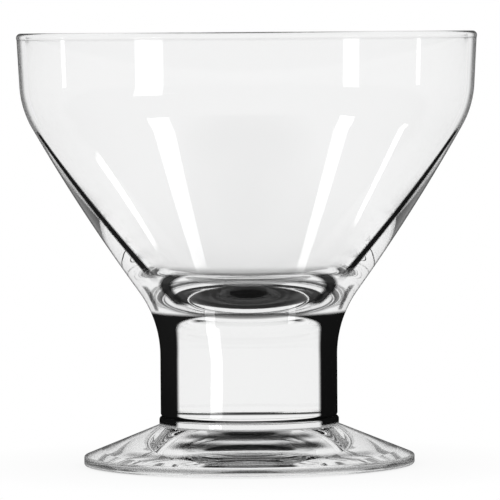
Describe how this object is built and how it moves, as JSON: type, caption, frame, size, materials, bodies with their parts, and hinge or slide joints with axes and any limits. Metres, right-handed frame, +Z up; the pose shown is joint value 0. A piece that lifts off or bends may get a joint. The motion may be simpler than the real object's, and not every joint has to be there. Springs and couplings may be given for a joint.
{
  "type": "ice cream bowl",
  "caption": "Clear glass ice cream bowl: deep flared bowl with a nearly upright rim, on a short solid stem and a low conical foot; holds a serving of ice cream or dessert.",
  "frame": {"origin": "centre of the foot's underside, on the surface the bowl stands on", "axes": "+Z up along the bowl's axis of turning, out of its mouth; X and Y are alike, and -Y faces the camera of the picture"},
  "size_m": [0.1018, 0.1018, 0.0956],
  "materials": {
    "clear_glass": "clear, polished, smooth"
  },
  "bodies": {
    "root": {"bowl": "clear_glass", "stem": "clear_glass", "foot": "clear_glass"}
  },
  "joints": []
}
